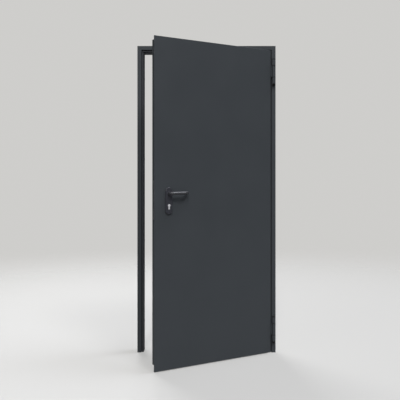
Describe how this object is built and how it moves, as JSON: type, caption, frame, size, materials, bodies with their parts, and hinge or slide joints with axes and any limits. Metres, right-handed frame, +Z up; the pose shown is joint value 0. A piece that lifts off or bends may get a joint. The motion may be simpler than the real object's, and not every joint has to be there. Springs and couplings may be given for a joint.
{
  "type": "steel utility door",
  "caption": "Flush steel utility door with a thin lip, hinged in a slim folded corner frame, with lever handles on short plates and a key cylinder.",
  "frame": {"origin": "on the back of the hinge jamb's face, where it lies on the wall, under the hinge axis at floor level", "axes": "+X from the lock side to the hinge side, +Y from the front into the wall, +Z up"},
  "size_m": [0.92, 0.5309, 2.04],
  "materials": {
    "anthracite_paint": "anthracite grey powder coat, satin",
    "seal_rubber": "black rubber, dull",
    "handle_plastic": "black moulded plastic, semi-matt",
    "zinc_steel": "zinc-plated steel",
    "nickel_brass": "satin nickel plate on brass"
  },
  "bodies": {
    "frame": {"hinge_jamb": "anthracite_paint", "lock_jamb": "anthracite_paint", "frame_head": "anthracite_paint", "hinge_jamb_seal": "seal_rubber", "lock_jamb_seal": "seal_rubber", "head_seal": "seal_rubber", "strike_box": "zinc_steel", "hinge_top_frame_knuckles": "anthracite_paint", "hinge_top_rings": "handle_plastic", "hinge_top_pin": "handle_plastic", "hinge_bottom_frame_knuckles": "anthracite_paint", "hinge_bottom_rings": "handle_plastic", "hinge_bottom_pin": "handle_plastic"},
    "leaf": {"leaf_front_sheet": "anthracite_paint", "leaf_back_sheet": "anthracite_paint", "leaf_hinge_edge": "anthracite_paint", "leaf_lock_edge": "anthracite_paint", "leaf_top_cap": "anthracite_paint", "leaf_bottom_cap": "anthracite_paint", "lock_forend": "zinc_steel", "latch_bolt": "zinc_steel", "dead_bolt": "zinc_steel", "lock_cylinder": "nickel_brass", "outside_plate": "handle_plastic", "inside_plate": "handle_plastic", "hinge_top_leaf_part": "anthracite_paint", "hinge_bottom_leaf_part": "anthracite_paint"},
    "handle": {"outside_lever": "handle_plastic", "inside_lever": "handle_plastic", "spindle": "zinc_steel"}
  },
  "joints": [
    {"name": "leaf_swing", "type": "hinge", "parent": "frame", "child": "leaf", "pos_m": [0, -0.014, 0], "axis": [0, 0, 1], "range_deg": [-30, 140]},
    {"name": "lever_turn", "type": "hinge", "parent": "leaf", "child": "handle", "pos_m": [-0.67957, -0.39596, 1.067], "axis": [-0.5, 0.866, 0], "range_deg": [0, 40], "stiffness_Nm_per_rad": 1.2, "springref_deg": -34.38}
  ]
}
